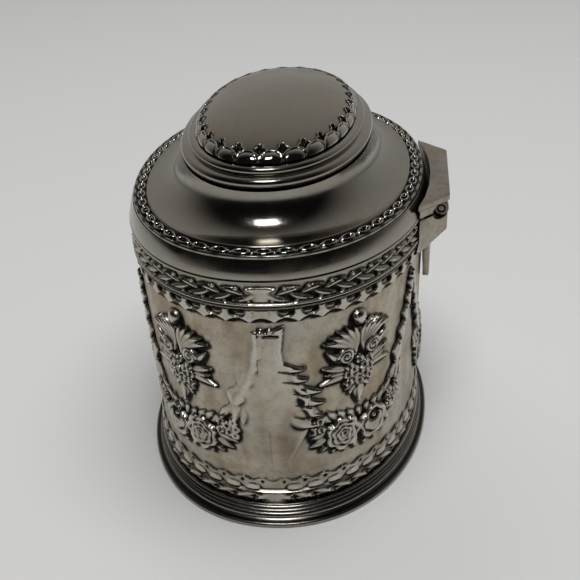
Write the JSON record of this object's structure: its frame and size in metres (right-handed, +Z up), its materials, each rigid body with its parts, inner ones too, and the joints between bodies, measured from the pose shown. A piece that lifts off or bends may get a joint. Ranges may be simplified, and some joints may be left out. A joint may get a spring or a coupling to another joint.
{
  "type": "lidded oval vessel",
  "caption": "Oval silver-plated vessel pressed with rose garlands and leaf bands, on a stepped foot, with a coved and domed lid hinged at one long side.",
  "frame": {"origin": "bottom centre of the whole object's box, on the surface that the foot stands on; the oval's own centre is 1.775 mm towards the front, because the hinge stands out at the back", "axes": "+X along the oval's long axis, +Y towards the hinge side, +Z up"},
  "size_m": [0.1098, 0.0854, 0.0995],
  "materials": {
    "wall_silver": "silver plate pressed in relief, satin ground, tarnished dark in the hollows and worn bright on the high points",
    "foot_silver": "polished silver plate with fine mouldings and tarnish in the grooves",
    "base_silver": "dull silver plate, scuffed from standing",
    "bezel_silver": "plain satin silver plate",
    "hinge_silver": "plain satin silver plate with a warm tarnish",
    "knuckle_silver": "silver-plated tube, rubbed bright",
    "pin_steel": "drawn wire",
    "lid_silver": "polished silver plate, warm grey tarnish film and fine scratches",
    "boss_silver": "satin silver plate with a brown tarnish film, bright leaf border"
  },
  "bodies": {
    "vessel": {"wall_front": "wall_silver", "wall_back": "wall_silver", "foot_ring": "foot_silver", "base_plate": "base_silver", "mouth_bezel": "bezel_silver", "hinge_bracket": "hinge_silver", "hinge_tongue": "hinge_silver", "body_knuckle_left": "knuckle_silver", "body_knuckle_middle": "knuckle_silver", "body_knuckle_right": "knuckle_silver", "hinge_pin": "pin_steel"},
    "lid": {"lid_rim": "lid_silver", "lid_shell": "lid_silver", "lid_collar": "lid_silver", "lid_boss": "boss_silver", "hinge_leaf": "hinge_silver", "lid_knuckle_left": "knuckle_silver", "lid_knuckle_right": "knuckle_silver"}
  },
  "joints": [
    {"name": "lid_hinge", "type": "hinge", "parent": "vessel", "child": "lid", "pos_m": [0, 0.04072, 0.0729], "axis": [-1, 0, 0], "range_deg": [0, 95]}
  ]
}
